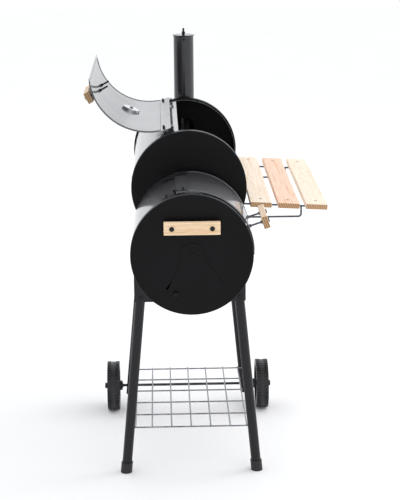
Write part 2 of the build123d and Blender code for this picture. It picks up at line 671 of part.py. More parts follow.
chimney_base = Plane(origin=(CHIMNEY_X, AXIS_Y, 0))
STRAP_Z = CHIMNEY_TOP_Z - 26.0
STRAP_WIDTH = 10.0
CAP_BOLT_R = 3.0
RIVET_Z = CHIMNEY_TOP_Z - 10.0
TUBE_START_Z = ELBOW_Z + CHIMNEY_R + 2
with BuildPart() as chimney_tube:
    disc(chimney_base, TUBE_START_Z, CHIMNEY_TOP_Z, CHIMNEY_R)
    disc(chimney_base, TUBE_START_Z, CHIMNEY_TOP_Z, CHIMNEY_R - CHIMNEY_WALL, Mode.SUBTRACT)
    bar((CHIMNEY_X - 40, AXIS_Y, RIVET_Z), (CHIMNEY_X + 40, AXIS_Y, RIVET_Z), 2.1, Mode.SUBTRACT)
save(chimney_tube.part, "chimney_tube")

# The strap spans the tube's mouth, with an upturned ear riveted to the wall at each end.
with BuildPart() as chimney_strap:
    inner = CHIMNEY_R - CHIMNEY_WALL - 0.6
    with Locations((CHIMNEY_X, AXIS_Y, STRAP_Z)):
        Box(2 * inner, STRAP_WIDTH, 2, align=(Align.CENTER, Align.CENTER, Align.MIN))
    for side in (-1, 1):
        with Locations((CHIMNEY_X + side * (inner - 1), AXIS_Y, STRAP_Z)):
            Box(2, STRAP_WIDTH, 20, align=(Align.CENTER, Align.CENTER, Align.MIN))
    disc(chimney_base, STRAP_Z - 1, STRAP_Z + 3, CAP_BOLT_R + PIN_PLAY, Mode.SUBTRACT)
    bar((CHIMNEY_X - 40, AXIS_Y, RIVET_Z), (CHIMNEY_X + 40, AXIS_Y, RIVET_Z), 2.1, Mode.SUBTRACT)
save(chimney_strap.part, "chimney_strap")
rivet_planes = [facing(CHIMNEY_X + side * CHIMNEY_R, 0, RIVET_Z, side) for side in (-1, 1)]
group(chimney_fasteners + [bolt(plane, 4.0, 1.6, 2.0, 6) for plane in rivet_planes], "chimney_fasteners")

CAP_PLATE_Z = CHIMNEY_TOP_Z + 0.4
with BuildPart() as chimney_cap_plate:
    disc(chimney_base, CAP_PLATE_Z, CAP_PLATE_Z + 1.5, CAP_PLATE_R)
    fillet(chimney_cap_plate.edges(), 0.6)
    disc(chimney_base, CAP_PLATE_Z - 1, CAP_PLATE_Z + 3, CAP_BOLT_R + 0.05, Mode.SUBTRACT)
save(chimney_cap_plate.part, "chimney_cap_plate")
with BuildPart() as chimney_cap_bolt:
    disc(chimney_base, STRAP_Z - CAP_TRAVEL - 6, CAP_PLATE_Z + 21, CAP_BOLT_R)
    fillet(chimney_cap_bolt.edges(), 0.8)
with BuildPart() as chimney_dome_nut:
    disc(chimney_base, CAP_PLATE_Z + 1.5, CAP_PLATE_Z + 4.0, 3.9)
    disc(chimney_base, CAP_PLATE_Z + 4.0, CAP_PLATE_Z + 11.0, 5.2)
    dome_edges = chimney_dome_nut.edges().filter_by(GeomType.CIRCLE).filter_by(lambda edge: edge.radius > 5)
    fillet(dome_edges.sort_by(Axis.Z)[-1], 2.0)
    fillet(dome_edges.sort_by(Axis.Z)[0], 1.1)
    disc(chimney_base, CAP_PLATE_Z, CAP_PLATE_Z + 12.0, CAP_BOLT_R + 0.05, Mode.SUBTRACT)
lock_nuts = [chimney_cap_bolt.part, chimney_dome_nut.part,
             nut(chimney_base, CAP_PLATE_Z - 4.2, 4.2, 5, CAP_BOLT_R + 0.05),
             nut(chimney_base, STRAP_Z - CAP_TRAVEL - 4.6, 4.2, 5, CAP_BOLT_R + 0.05)]
group(lock_nuts, "chimney_cap_bolt")

# ---------------------------------------------------------------- saddle brackets
LEG_BOLT_Z = 511.0


def leg_point(side, z):
    """The centre of a leg at a height, in the part's frame without its X."""
    return (AXIS_Y + side * (LEG_SPREAD + (LEG_SPREAD_Z - z) * LEG_SLOPE), z)


def saddle(leg_x):
    """A folded sheet saddle: two plates, side walls and a curved seat under the main chamber."""
    with BuildPart() as bracket:
        for plate_x in (leg_x - BRACKET_DEPTH / 2, leg_x + BRACKET_DEPTH / 2 - BRACKET_SHEET):
            with BuildSketch(across(plate_x)):
                Polygon((-BRACKET_HALF, BRACKET_BOTTOM_Z), (BRACKET_HALF, BRACKET_BOTTOM_Z),
                        (BRACKET_HALF, 640), (119, 727), (-119, 727), (-BRACKET_HALF, 640), align=None)
                with Locations((0, MAIN_Z)):
                    Circle(SHELL_R + 1, mode=Mode.SUBTRACT)
            extrude(amount=BRACKET_SHEET)
        with BuildSketch(across(leg_x - BRACKET_DEPTH / 2)):
            with Locations((0, MAIN_Z)):
                Circle(SHELL_R + BRACKET_SHEET)
                Circle(SHELL_R, mode=Mode.SUBTRACT)
            pie(SADDLE_HORN_ANGLES[0], SADDLE_HORN_ANGLES[1], MAIN_Z)
        extrude(amount=BRACKET_DEPTH)
        for side in (-1, 1):
            with Locations((leg_x, AXIS_Y + side * (BRACKET_HALF - BRACKET_SHEET / 2), BRACKET_BOTTOM_Z)):
                Box(BRACKET_DEPTH, BRACKET_SHEET, 140, align=(Align.CENTER, Align.CENTER, Align.MIN))
            y, z = leg_point(side, LEG_BOLT_Z)
            bar((leg_x - 20, y, z), (leg_x + 20, y, z), 3.1, Mode.SUBTRACT)
        for plane in saddle_planes():
            disc(plane, -4, 1, 3.1, Mode.SUBTRACT)
    return bracket.part


group([saddle(leg_x) for leg_x in LEG_PLANES_X], "leg_saddles")


# ---------------------------------------------------------------- legs and feet
def leg_plane(leg_x, side):
    """The plane across a leg at its top, looking down along the leg."""
    y, z = leg_point(side, LEG_TOP_Z)
    return Plane(origin=(leg_x, y, z), x_dir=(1, 0, 0), z_dir=(0, side * LEG_SLOPE, -1))


def leg_rod(leg_x, side, end_z, radius):
    """A solid round rod along a leg, cut off level at a height."""
    with BuildPart() as rod:
        disc(leg_plane(leg_x, side), 0, LEG_TOP_Z + 40, radius)
        split(bisect_by=Plane.XY.offset(end_z), keep=Keep.TOP)
    return rod.part


def leg(leg_x, side, end_z):
    """A leg tube, drilled for its bracket bolt and for the rack wire or the axle."""
    with BuildPart() as tube:
        add(leg_rod(leg_x, side, end_z, LEG_R))
        disc(leg_plane(leg_x, side), -1, LEG_TOP_Z + 60, LEG_R - LEG_WALL, Mode.SUBTRACT)
        y, z = leg_point(side, LEG_BOLT_Z)
        bar((leg_x - 20, y, z), (leg_x + 20, y, z), 3.1, Mode.SUBTRACT)
        if end_z < AXLE_Z / 2:
            y, z = leg_point(side, RACK_Z)
            bar((leg_x, y, z), (leg_x, y - side * 25, z), RACK_WIRE_R + 0.1, Mode.SUBTRACT)
        else:
            y, z = leg_point(side, AXLE_Z)
            bar((leg_x, y - 25, z), (leg_x, y + 25, z), AXLE_R + 0.1, Mode.SUBTRACT)
    return tube.part


def foot(leg_x, side):
    """A plastic foot: a cup on the leg's end with a level sole."""
    with BuildPart() as cup:
        add(leg_rod(leg_x, side, 0, FOOT_R))
        split(bisect_by=Plane.XY.offset(FOOT_HEIGHT), keep=Keep.BOTTOM)
        add(leg_rod(leg_x, side, 4, LEG_R), mode=Mode.SUBTRACT)
    return cup.part


def leg_plug(leg_x, side):
    """A plastic plug in the open end of a far leg."""
    with BuildPart() as plug:
        add(leg_rod(leg_x, side, FAR_LEG_END_Z - 3, LEG_R))
        split(bisect_by=Plane.XY.offset(FAR_LEG_END_Z), keep=Keep.BOTTOM)
        add(leg_rod(leg_x, side, FAR_LEG_END_Z, LEG_R - LEG_WALL - 0.1))
        split(bisect_by=Plane.XY.offset(FAR_LEG_END_Z + 10), keep=Keep.BOTTOM)
    return plug.part


for side, side_name in ((1, "back"), (-1, "front")):
    save(leg(NEAR_LEG_X, side, 4.0), f"near_{side_name}_leg")
    save(leg(FAR_LEG_X, side, FAR_LEG_END_Z), f"far_{side_name}_leg")
leg_ends = [foot(NEAR_LEG_X, side) for side in (1, -1)]
group(leg_ends + [leg_plug(FAR_LEG_X, side) for side in (1, -1)], "leg_end_caps")
leg_bolt_planes = [Plane(origin=(x - BRACKET_DEPTH / 2, *leg_point(side, LEG_BOLT_Z)), x_dir=(0, 1, 0),
                         z_dir=(-1, 0, 0)) for x in LEG_PLANES_X for side in (1, -1)]
stand_bolts = [bolt(plane, 5.5, 3.5, 3, BRACKET_DEPTH + 8) for plane in leg_bolt_planes]
stand_bolts += [nut(plane, -BRACKET_DEPTH - 5, 5, 5, 3.05) for plane in leg_bolt_planes]
stand_bolts += [bolt(plane, 5.5, 4, 3, 12) for plane in saddle_planes()]
stand_bolts += [nut(plane, -BRACKET_SHEET - SHEET - 5.6, 5, 5, 3.05) for plane in saddle_planes()]
group(stand_bolts, "stand_bolts")

# ---------------------------------------------------------------- lower wire rack
with BuildPart() as lower_rack:
    step = (RACK_END_X - NEAR_LEG_X) / (RACK_CROSS - 1)
    for index in range(RACK_CROSS):
        wire_x = NEAR_LEG_X + index * step
        half = 164 if index == 0 else (172 if index == RACK_CROSS - 1 else 160)
        bar((wire_x, AXIS_Y - half, RACK_Z), (wire_x, AXIS_Y + half, RACK_Z), RACK_WIRE_R)
    for wire_y in (-155, -2 * RACK_CELL, -RACK_CELL, 0, RACK_CELL, 2 * RACK_CELL, 155):
        long_z = RACK_Z + 2 * RACK_WIRE_R - 0.8
        bar((NEAR_LEG_X - 1, AXIS_Y + wire_y, long_z), (RACK_END_X + 1, AXIS_Y + wire_y, long_z), RACK_WIRE_R)
save(lower_rack.part, "lower_rack")

# ---------------------------------------------------------------- axle and wheels
HUB_R = 15.0
HUB_HALF_IN = 27.0
AXLE_HALF = WHEEL_Y + WHEEL_WIDTH / 2 + 7
with BuildPart() as axle:
    bar((FAR_LEG_X, AXIS_Y - AXLE_HALF, AXLE_Z), (FAR_LEG_X, AXIS_Y + AXLE_HALF, AXLE_Z), AXLE_R)
    fillet(axle.edges().filter_by(GeomType.CIRCLE), 0.8)
save(axle.part, "axle")


def wheel_plane(side):
    """The middle plane of a wheel, looking outwards along the axle."""
    return Plane(origin=(FAR_LEG_X, AXIS_Y + side * WHEEL_Y, AXLE_Z), x_dir=(1, 0, 0), z_dir=(0, side, 0))


TREAD_R = WHEEL_R - 3.0
RIM_R = 58.0
LUGS = 48
LUG_WIDTH = 11.0


def tyre(side):
    """The tread ring: a smooth middle band with a row of lugs on each shoulder."""
    half = WHEEL_WIDTH / 2
    middle = wheel_plane(side)
    with BuildPart() as ring:
        disc(middle, -half, half, TREAD_R)
        disc(middle, -half + LUG_WIDTH + 1.5, half - LUG_WIDTH - 1.5, WHEEL_R - 1.0)
        for low in (-half, half - LUG_WIDTH):
            with BuildSketch(middle.offset(low)):
                with PolarLocations(TREAD_R + 0.5, LUGS):
                    Rectangle(5.0, 5.6)
            extrude(amount=LUG_WIDTH)
        disc(middle, -half - 1, half + 1, RIM_R, Mode.SUBTRACT)
    return ring.part


def rim(side):
    """The spoked rim with its hub, bored to run on the axle."""
    half = WHEEL_WIDTH / 2
    middle = wheel_plane(side)
    with BuildPart() as body:
        disc(middle, -half + 3, half - 3, RIM_R)
        disc(middle, -half + 2, half - 2, RIM_R - 4, Mode.SUBTRACT)
        with BuildSketch(middle.offset(-1.5)):
            Circle(RIM_R - 2)
            with PolarLocations(0, SPOKES):
                with Locations((34, 0)):
                    SlotOverall(28, 15, mode=Mode.SUBTRACT)
        extrude(amount=3)
        with BuildSketch(middle.offset(-half + 7)):
            with PolarLocations(0, SPOKES, start_angle=180 / SPOKES):
                with Locations((34, 0)):
                    Rectangle(46, 3)
        extrude(amount=WHEEL_WIDTH - 14)
        disc(middle, -HUB_HALF_IN, half - 2, HUB_R)
        disc(middle, -HUB_HALF_IN - 1, half, AXLE_R + HUB_PLAY, Mode.SUBTRACT)
    return body.part


for side, side_name in ((1, "back"), (-1, "front")):
    save(tyre(side), f"{side_name}_wheel_tread")
    save(rim(side), f"{side_name}_wheel_rim")

axle_fittings = []
for side in (1, -1):
    middle = wheel_plane(side)
    with BuildPart() as washer:
        disc(middle, -HUB_HALF_IN - 2.0, -HUB_HALF_IN - 0.4, 9.0)
        disc(middle, -HUB_HALF_IN - 3, -HUB_HALF_IN, AXLE_R + 0.1, Mode.SUBTRACT)
    with BuildPart() as push_cap:
        disc(middle, WHEEL_WIDTH / 2 - 1.4, WHEEL_WIDTH / 2 + 9, 8.5)
        fillet(push_cap.edges().filter_by(GeomType.CIRCLE), 1.5)
        disc(middle, 0, WHEEL_WIDTH / 2 + 7.1, AXLE_R + 0.02, Mode.SUBTRACT)
    axle_fittings += [washer.part, push_cap.part]
group(axle_fittings, "axle_washers_and_caps")

# ---------------------------------------------------------------- shelf
SLAT_SCREW_INSET = 45.0
SLAT_SCREW_R = 2.2
SLAT_HEAD_R = 4.4
SLAT_HEAD = 2.0
LUG_SHEET = 2.0
shelf_top = Plane(origin=shelf_point(SLAT_START_X, 0, 0), x_dir=(1, 0, 0),
                  z_dir=(0, -math.sin(math.radians(SLAT_DROOP)), math.cos(math.radians(SLAT_DROOP))))
SCREWS_ALONG = (SLAT_SCREW_INSET, SLAT_LENGTH - SLAT_SCREW_INSET)
slat_middles = [-(index * (SLAT_WIDTH + SLAT_GAP) + SLAT_WIDTH / 2) for index in range(3)]


def shelf_spot(along, sideways):
    """A plane on the shelf's top face at a spot given along and across the slats."""
    return Plane(origin=shelf_top.from_local_coords((along, sideways, 0)), x_dir=(1, 0, 0), z_dir=shelf_top.z_dir)


def slat(middle):
    """A planed slat with eased edges and a counterbored hole for each screw."""
    with BuildPart() as board:
        with BuildSketch(shelf_top.offset(-SLAT_THICK)):
            with Locations((SLAT_LENGTH / 2, middle)):
                Rectangle(SLAT_LENGTH, SLAT_WIDTH)
        extrude(amount=SLAT_THICK)
        fillet(board.edges(), 1.5)
        for along in SCREWS_ALONG:
            spot = shelf_spot(along, middle)
            disc(spot, -SLAT_THICK - 1, 1, SLAT_SCREW_R + 0.1, Mode.SUBTRACT)
            disc(spot, -SLAT_HEAD - 0.3, 1, SLAT_HEAD_R + 0.1, Mode.SUBTRACT)
    return board.part


for middle, name in zip(slat_middles, ("inner", "middle", "outer")):
    save(slat(middle), f"shelf_{name}_slat")
slat_screws = []
slat_nuts = []
for middle in slat_middles:
    for along in SCREWS_ALONG:
        spot = shelf_spot(along, middle)
        slat_screws.append(bolt(spot.offset(-SLAT_HEAD - 0.3), SLAT_HEAD_R, SLAT_HEAD, SLAT_SCREW_R, 20))
        slat_nuts.append(nut(spot, -SLAT_THICK - LUG_SHEET - 4, 4, 3.8, SLAT_SCREW_R + 0.05))
group(slat_screws + slat_nuts, "shelf_screws")


def shelf_bracket(rod_x, screw_along):
    """A bent wire bracket: a rod under the slats, a brace below it, and a lug for each slat."""
    last = -slat_middles[-1] + 18
    with BuildPart() as bracket:
        bar(shelf_point(rod_x, SHELF_ROD_START, SHELF_ROD_DROP), shelf_point(rod_x, last, SHELF_ROD_DROP),
            SHELF_ROD_R)
        corner = AXIS_Y - SHELF_CORNER
        joint_z = shelf_point(rod_x, SHELF_CORNER - SLAT_INNER, SHELF_ROD_DROP)[2]
        with BuildLine():
            brace = FilletPolyline((rod_x, SHELF_BRACE_START, SHELF_BRACE_Z), (rod_x, corner, SHELF_BRACE_Z),
                                   (rod_x, corner, joint_z), radius=8)
        with BuildSketch(Plane(origin=brace @ 0, z_dir=brace % 0)):
            Circle(SHELF_ROD_R)
        sweep(path=brace)
        for middle in slat_middles:
            low = min(screw_along, rod_x - SLAT_START_X) - 7
            high = max(screw_along, rod_x - SLAT_START_X) + 7
            with BuildSketch(shelf_top.offset(-SLAT_THICK - LUG_SHEET)):
                with Locations(((low + high) / 2, middle)):
                    Rectangle(high - low, 14)
            extrude(amount=LUG_SHEET)
            disc(shelf_spot(screw_along, middle), -SLAT_THICK - 5, -SLAT_THICK + 1, SLAT_SCREW_R + 0.1,
                 Mode.SUBTRACT)
    return bracket.part


group([shelf_bracket(rod_x, along) for rod_x, along in zip(SHELF_RODS_X, SCREWS_ALONG)], "shelf_brackets")

# ---------------------------------------------------------------- grates and their brackets
LEDGE_Z = GRATE_Z - GRATE_WIRE_R - 2.2


def grate_bracket(bracket_x, side, heights):
    """An angle inside the shell: an upright screwed to the wall and a ledge for the grate."""
    upright = 140.0
    low = min(heights) - 8
    high = max(heights) + 8
    with BuildPart() as angle:
        with Locations((bracket_x, AXIS_Y + side * (upright - 1), low)):
            Box(24, 2, high - low, align=(Align.CENTER, Align.CENTER, Align.MIN))
        with Locations((bracket_x, AXIS_Y + side * (upright - 9), LEDGE_Z)):
            Box(24, 16, 2, align=(Align.CENTER, Align.CENTER, Align.MIN))
        for z in heights:
            y = AXIS_Y + side * upright
            bar((bracket_x, y - 6, z), (bracket_x, y + 6, z), 2.6, Mode.SUBTRACT)
    return angle.part


brackets = []
for bracket_x in GRATE_BRACKET_X:
    brackets.append(grate_bracket(bracket_x, 1, GRATE_SCREW_BACK_Z))
    brackets.append(grate_bracket(bracket_x, -1, GRATE_SCREW_FRONT_Z))
group(brackets + [bolt(plane, 4.5, 3, 2.5, 15) for plane in grate_screw_planes()], "grate_brackets")


def grate(start_x, length, half_width, z, bars):
    """A welded wire grate: a frame of two side wires and closely spaced bars across them."""
    with BuildPart() as wires:
        for side in (-1, 1):
            y = AXIS_Y + side * (half_width - 12)
            bar((start_x, y, z - GRATE_WIRE_R), (start_x + length, y, z - GRATE_WIRE_R), GRATE_WIRE_R)
        for index in range(bars):
            x = start_x + GRATE_WIRE_R + index * (length - 2 * GRATE_WIRE_R) / (bars - 1)
            bar((x, AXIS_Y - half_width, z + GRATE_WIRE_R - 0.4),
                (x, AXIS_Y + half_width, z + GRATE_WIRE_R - 0.4), GRATE_WIRE_R)
    return wires.part


main_grate_length = (MAIN_LENGTH - 2 * 24) / 2 - 2
group([grate(x, main_grate_length, 128, GRATE_Z, 20) for x in (MAIN_X + 24, MAIN_MIDDLE_X + 2)],
      "main_cooking_grates")
CHARCOAL_Z = MAIN_Z - 96
save(grate(MAIN_X + 70, MAIN_LENGTH - 140, 109, CHARCOAL_Z, 26), "main_charcoal_grate")
save(grate(FIREBOX_X + 24, FIREBOX_LENGTH - 48, 132, FIREBOX_Z - 60, 18), "firebox_charcoal_grate")
save(grate(FIREBOX_X + 24, FIREBOX_LENGTH - 48, 145, FIREBOX_Z - 4, 18), "firebox_cooking_grate")
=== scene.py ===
import json
import math

import bmesh
import bpy
from mathutils import Matrix, Quaternion, Vector


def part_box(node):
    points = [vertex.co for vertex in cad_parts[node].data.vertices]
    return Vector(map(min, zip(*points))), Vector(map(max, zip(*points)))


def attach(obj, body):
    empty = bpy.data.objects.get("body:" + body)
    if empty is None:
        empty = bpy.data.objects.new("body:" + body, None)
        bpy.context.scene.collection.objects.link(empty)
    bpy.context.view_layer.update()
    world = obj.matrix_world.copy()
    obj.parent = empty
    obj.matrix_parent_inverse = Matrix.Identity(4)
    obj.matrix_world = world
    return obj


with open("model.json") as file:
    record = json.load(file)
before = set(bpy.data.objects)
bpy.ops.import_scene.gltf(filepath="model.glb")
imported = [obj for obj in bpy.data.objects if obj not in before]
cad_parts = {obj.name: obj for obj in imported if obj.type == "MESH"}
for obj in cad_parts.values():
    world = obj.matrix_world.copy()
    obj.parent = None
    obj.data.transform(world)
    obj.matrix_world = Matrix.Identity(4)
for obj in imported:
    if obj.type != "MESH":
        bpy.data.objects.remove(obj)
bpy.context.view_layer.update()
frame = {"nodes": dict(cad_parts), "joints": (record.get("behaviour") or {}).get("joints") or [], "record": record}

# Offset smoker.  Metres, in the frame's own axes: X runs from the firebox to the chimney, -Y is the
# shelf side and the floor is Z = 0.

# ---------------------------------------------------------------- places taken from the frame
NODES = frame["nodes"]
main_low, main_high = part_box("main_barrel_shell")
fire_low, fire_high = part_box("firebox_shell")
tube_low, tube_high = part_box("chimney_tube")
elbow_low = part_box("chimney_elbow")[0]

AXIS_Y = (main_low.y + main_high.y) / 2
MAIN_Z = (main_low.z + main_high.z) / 2
FIRE_Z = (fire_low.z + fire_high.z) / 2
SHELL_R = (main_high.y - main_low.y) / 2
LID_R = 0.157
SHEET = 0.0015
LID_INSET = 0.025
LID_START = 76.0
LID_LIP = 183.0
MAIN_LID_TURN = -188.0
CAP_REACH = 0.022
MAIN_X = (main_low.x, main_high.x)
FIRE_X = (fire_low.x, fire_high.x)
HINGE = next(Vector(joint["pos_m"]) for joint in frame["joints"] if joint["name"] == "main_lid_hinge")


def on_barrel(x, radius, degrees, height):
    """A point at an angle about a barrel's axis, counted from the back over the top to the front."""
    turn = math.radians(degrees)
    return Vector((x, AXIS_Y + radius * math.cos(turn), height + radius * math.sin(turn)))


def lid_opened(point):
    """Where a point of the closed main lid is while the lid stands open."""
    return HINGE + Matrix.Rotation(math.radians(MAIN_LID_TURN), 3, "X") @ (Vector(point) - HINGE)


# ---------------------------------------------------------------- materials
class Look:
    """A node material round one Principled shader."""

    def __init__(self, name, **values):
        self.material = bpy.data.materials.new(name)
        self.material.use_nodes = True
        self.tree = self.material.node_tree
        self.shader = self.tree.nodes["Principled BSDF"]
        for socket, value in values.items():
            self.shader.inputs[socket.replace("_", " ")].default_value = value
        self.coords = self.tree.nodes.new("ShaderNodeTexCoord")

    def add(self, kind, inputs=None, **settings):
        """A node, with each input set to a value or linked to a socket."""
        node = self.tree.nodes.new(kind)
        for name, value in settings.items():
            setattr(node, name, value)
        for socket, value in (inputs or {}).items():
            if isinstance(value, bpy.types.NodeSocket):
                self.tree.links.new(value, node.inputs[socket])
            else:
                node.inputs[socket].default_value = value
        return node

    def place(self, scale=(1, 1, 1), turn=(0, 0, 0)):
        """The piece's own coordinates, stretched or turned."""
        inputs = {"Vector": self.coords.outputs["Object"], "Scale": scale, "Rotation": turn}
        return self.add("ShaderNodeMapping", inputs).outputs["Vector"]

    def noise(self, scale, detail=4.0, roughness=0.55, vector=None, distortion=0.0):
        """Fractal noise of so many cells a metre."""
        inputs = {"Vector": vector or self.coords.outputs["Object"], "Scale": scale, "Detail": detail,
                  "Roughness": roughness, "Distortion": distortion}
        return self.add("ShaderNodeTexNoise", inputs).outputs["Fac"]

    def ramp(self, fac, stops):
        """A colour ramp through (position, colour) stops."""
        node = self.add("ShaderNodeValToRGB", {"Fac": fac})
        elements = node.color_ramp.elements
        while len(elements) < len(stops):
            elements.new(0.5)
        for element, (position, colour) in zip(elements, stops):
            element.position = position
            element.color = (*colour, 1)
        return node.outputs["Color"]

    def span(self, value, low, high, from_low=0.3, from_high=0.7):
        """A value carried from one range to another; noise lies mostly between 0.3 and 0.7."""
        inputs = {"Value": value, "From Min": from_low, "From Max": from_high, "To Min": low,
                  "To Max": high}
        return self.add("ShaderNodeMapRange", inputs).outputs["Result"]

    def mix(self, fac, first, second, blend="MIX"):
        """Two colours mixed.  The factor and the two colours are the mix node's inputs 0, 6 and 7."""
        node = self.add("ShaderNodeMix", data_type="RGBA", blend_type=blend)
        for index, value in ((0, fac), (6, first), (7, second)):
            if isinstance(value, bpy.types.NodeSocket):
                self.tree.links.new(value, node.inputs[index])
            elif index:
                node.inputs[index].default_value = (*value, 1)
            else:
                node.inputs[index].default_value = value
        return node.outputs[2]

    def join(self, socket, target):
        """Links a socket to one of the shader's inputs."""
        self.tree.links.new(socket, self.shader.inputs[target])

    def bump(self, height, distance, strength=1.0, onto=None):
        """Surface relief from a height, added to an earlier relief if one is given."""
        inputs = {"Height": height, "Distance": distance, "Strength": strength}
        if onto:
            inputs["Normal"] = onto
        return self.add("ShaderNodeBump", inputs).outputs["Normal"]


def srgb(code):
    """A colour given as a web code, as linear values."""
    values = [int(code[start:start + 2], 16) / 255 for start in (0, 2, 4)]
    return tuple(value / 12.92 if value < 0.04045 else ((value + 0.055) / 1.055) ** 2.4
                 for value in values)


def enamel(name, dark, light, rough, specular, coat, peel=0.0000015, peel_scale=240.0):
    """Baked enamel on sheet steel: faint orange peel, cloudy pigment and an uneven sheen."""
    look = Look(name, Specular_IOR_Level=specular, Coat_Weight=coat, Coat_Roughness=0.08)
    cloud = look.noise(7.0, 5.0)
    fleck = look.noise(900.0, 2.0)
    paint = look.ramp(cloud, ((0.3, srgb(dark)), (0.7, srgb(light))))
    look.join(look.mix(look.span(fleck, 0.0, 0.25, 0.6, 0.75), paint, srgb("34353a")), "Base Color")
    look.join(look.span(look.noise(9.0, 4.0), rough * 0.9, rough * 1.12), "Roughness")
    look.join(look.bump(look.noise(peel_scale, 2.0), peel), "Normal")
    return look.material


GRAIN_STRETCH = 0.045
RING_TILT = (0.6, 0.35, 0.5)


def wood(name, early, late, ends, axis=0, rough=0.62):
    """Planed softwood with its grain along one axis: bands, fine pores and dark end grain."""
    look = Look(name, Specular_IOR_Level=0.35)
    stretch = [1.0, 1.0, 1.0]
    stretch[axis] = GRAIN_STRETCH
    along = look.place(stretch)
    rings = look.noise(150.0, 5.0, 0.6, vector=along, distortion=0.9)
    streaks = look.noise(620.0, 3.0, 0.5, vector=along)
    grain = look.ramp(rings, ((0.36, srgb(late)), (0.5, srgb(early)), (0.72, srgb(early))))
    fine = look.ramp(streaks, ((0.3, srgb("c9b394")), (0.55, (1, 1, 1))))
    board = look.mix(0.35, grain, fine, "MULTIPLY")
    wave = {"Vector": look.place(turn=RING_TILT), "Scale": 62.0, "Distortion": 2.4, "Detail": 2.0,
            "Detail Scale": 1.2}
    year_rings = look.add("ShaderNodeTexWave", wave, bands_direction="Y").outputs["Fac"]
    ring_colour = look.ramp(year_rings, ((0.2, srgb(ends)), (0.8, srgb("cfae88"))))
    pores = look.ramp(look.noise(1400.0, 3.0), ((0.3, srgb("d8c2a6")), (0.6, (1, 1, 1))))
    cells = look.mix(0.5, ring_colour, pores, "MULTIPLY")
    normal = {"Vector": look.coords.outputs["Normal"]}
    along_grain = look.add("ShaderNodeSeparateXYZ", normal).outputs[axis]
    squareness = look.add("ShaderNodeMath", {0: along_grain}, operation="ABSOLUTE").outputs[0]
    cut = look.span(squareness, 0.0, 1.0, 0.45, 0.8)
    look.join(look.mix(cut, board, cells), "Base Color")
    look.join(look.span(rings, rough * 0.85, rough * 1.15), "Roughness")
    look.join(look.bump(streaks, 0.00025, 0.5, look.bump(rings, 0.0004, 0.4)), "Normal")
    return look.material


def plated(name, dark, light, rough, metallic=1.0):
    """Plated steel wire or rod: brushed along in fine streaks, with dull patches."""
    look = Look(name, Metallic=metallic)
    look.join(look.ramp(look.noise(60.0, 5.0), ((0.3, srgb(dark)), (0.7, srgb(light)))), "Base Color")
    look.join(look.span(look.noise(140.0, 4.0), rough * 0.7, rough * 1.3), "Roughness")
    look.join(look.bump(look.noise(1500.0, 2.0), 0.00003), "Normal")
    return look.material


def moulded(name, dark, light, rough, specular=0.5):
    """Injection-moulded plastic: a fine spark-eroded grain and a slightly cloudy sheen."""
    look = Look(name, Specular_IOR_Level=specular)
    look.join(look.ramp(look.noise(24.0, 4.0), ((0.3, srgb(dark)), (0.7, srgb(light)))), "Base Color")
    look.join(look.span(look.noise(90.0, 5.0), rough * 0.8, rough * 1.2), "Roughness")
    look.join(look.bump(look.noise(2200.0, 2.0), 0.00005), "Normal")
    return look.material


def glass(name):
    """Flat gauge glass with a trace of dust."""
    look = Look(name, Base_Color=(1, 1, 1, 1), Transmission_Weight=1.0, IOR=1.45)
    look.join(look.span(look.noise(45.0, 5.0), 0.02, 0.09), "Roughness")
    return look.material


# One finish for each material slot of the record.
LOOKS = {
    # The barrel and lid enamels are a lighter grey than the other black paints. Their grey is partly the paint's
    # own dark tone and partly painted reflection: it is lifted to stand in for the white surroundings that the
    # shells mirror.
    "barrel_paint": enamel("barrel_enamel_lifted_by_painted_reflection", "232327", "2d2d32", 0.42, 1.0, 1.0),
    "cap_paint": enamel("cap_enamel", "050506", "0a0a0c", 0.36, 0.14, 0.0),
    "lid_paint": enamel("lid_enamel_lifted_by_painted_reflection", "232327", "2d2d32", 0.42, 1.0, 0.8),
    "chimney_paint": enamel("chimney_enamel", "0b0b0d", "121215", 0.24, 0.6, 0.3),
    "frame_paint": enamel("frame_powder_coat", "0b0b0d", "121215", 0.36, 0.34, 0.0, 0.000012, 700.0),
    "hinge_paint": enamel("hinge_enamel", "0c0c0e", "141417", 0.35, 0.5, 0.1),
    "black_steel": plated("blackened_steel", "101012", "232326", 0.42, 0.6),
    "vent_steel": enamel("vent_enamel", "070708", "0d0d0f", 0.33, 0.17, 0.0),
    "rack_wire": plated("zinc_plated_wire", "6b6c72", "a09fa6", 0.3),
    "grate_wire": plated("chromed_wire", "6d6f74", "a4a6aa", 0.28),
    "axle_steel": plated("axle_steel", "2f3034", "55575c", 0.38),
    "tyre_plastic": moulded("tyre_plastic", "101013", "1a1a1e", 0.36),
    "rim_plastic": moulded("rim_plastic", "121215", "1d1d21", 0.4),
    "foot_plastic": moulded("foot_plastic", "101012", "1a1a1d", 0.5),
    "gauge_chrome": plated("gauge_chrome", "b4b6ba", "dcdde0", 0.16),
    "dial_face": moulded("dial_enamel", "e8e6e0", "f4f2ee", 0.5),
    "needle_red": moulded("needle_enamel", "b01812", "c8221a", 0.4),
    "handle_wood": wood("handle_beech", "f3dcc0", "e6c8a4", "94714e"),
    "slat_wood": wood("slat_pine", "fbebd8", "f3dabb", "a47b55"),
    "slat_wood_pink": wood("slat_red_pine", "f8d6bf", "ecbd9c", "a0704f"),
    "gauge_glass": glass("gauge_glass"),
}
front_handle_wood = wood("front_handle_beech", "efd3b0", "e0bd94", "94714e", axis=1)
bracket_wire = plated("bracket_wire", "3a3c40", "6a6d72", 0.34)
printed_ink = moulded("printed_ink", "16161a", "222226", 0.6)
weld_metal = enamel("painted_weld", "101012", "1b1b1e", 0.5, 0.5, 0.0, 0.0001, 300.0)

OWN_FINISH = {"front_handle": front_handle_wood, "shelf_brackets": bracket_wire,
              "firebox_handle_bolts": bracket_wire}
for row in frame["record"]["subparts"]:
    finish = OWN_FINISH.get(row["node"], LOOKS[row["material_slot"]])
    for slot in NODES[row["node"]].material_slots:
        slot.material = finish


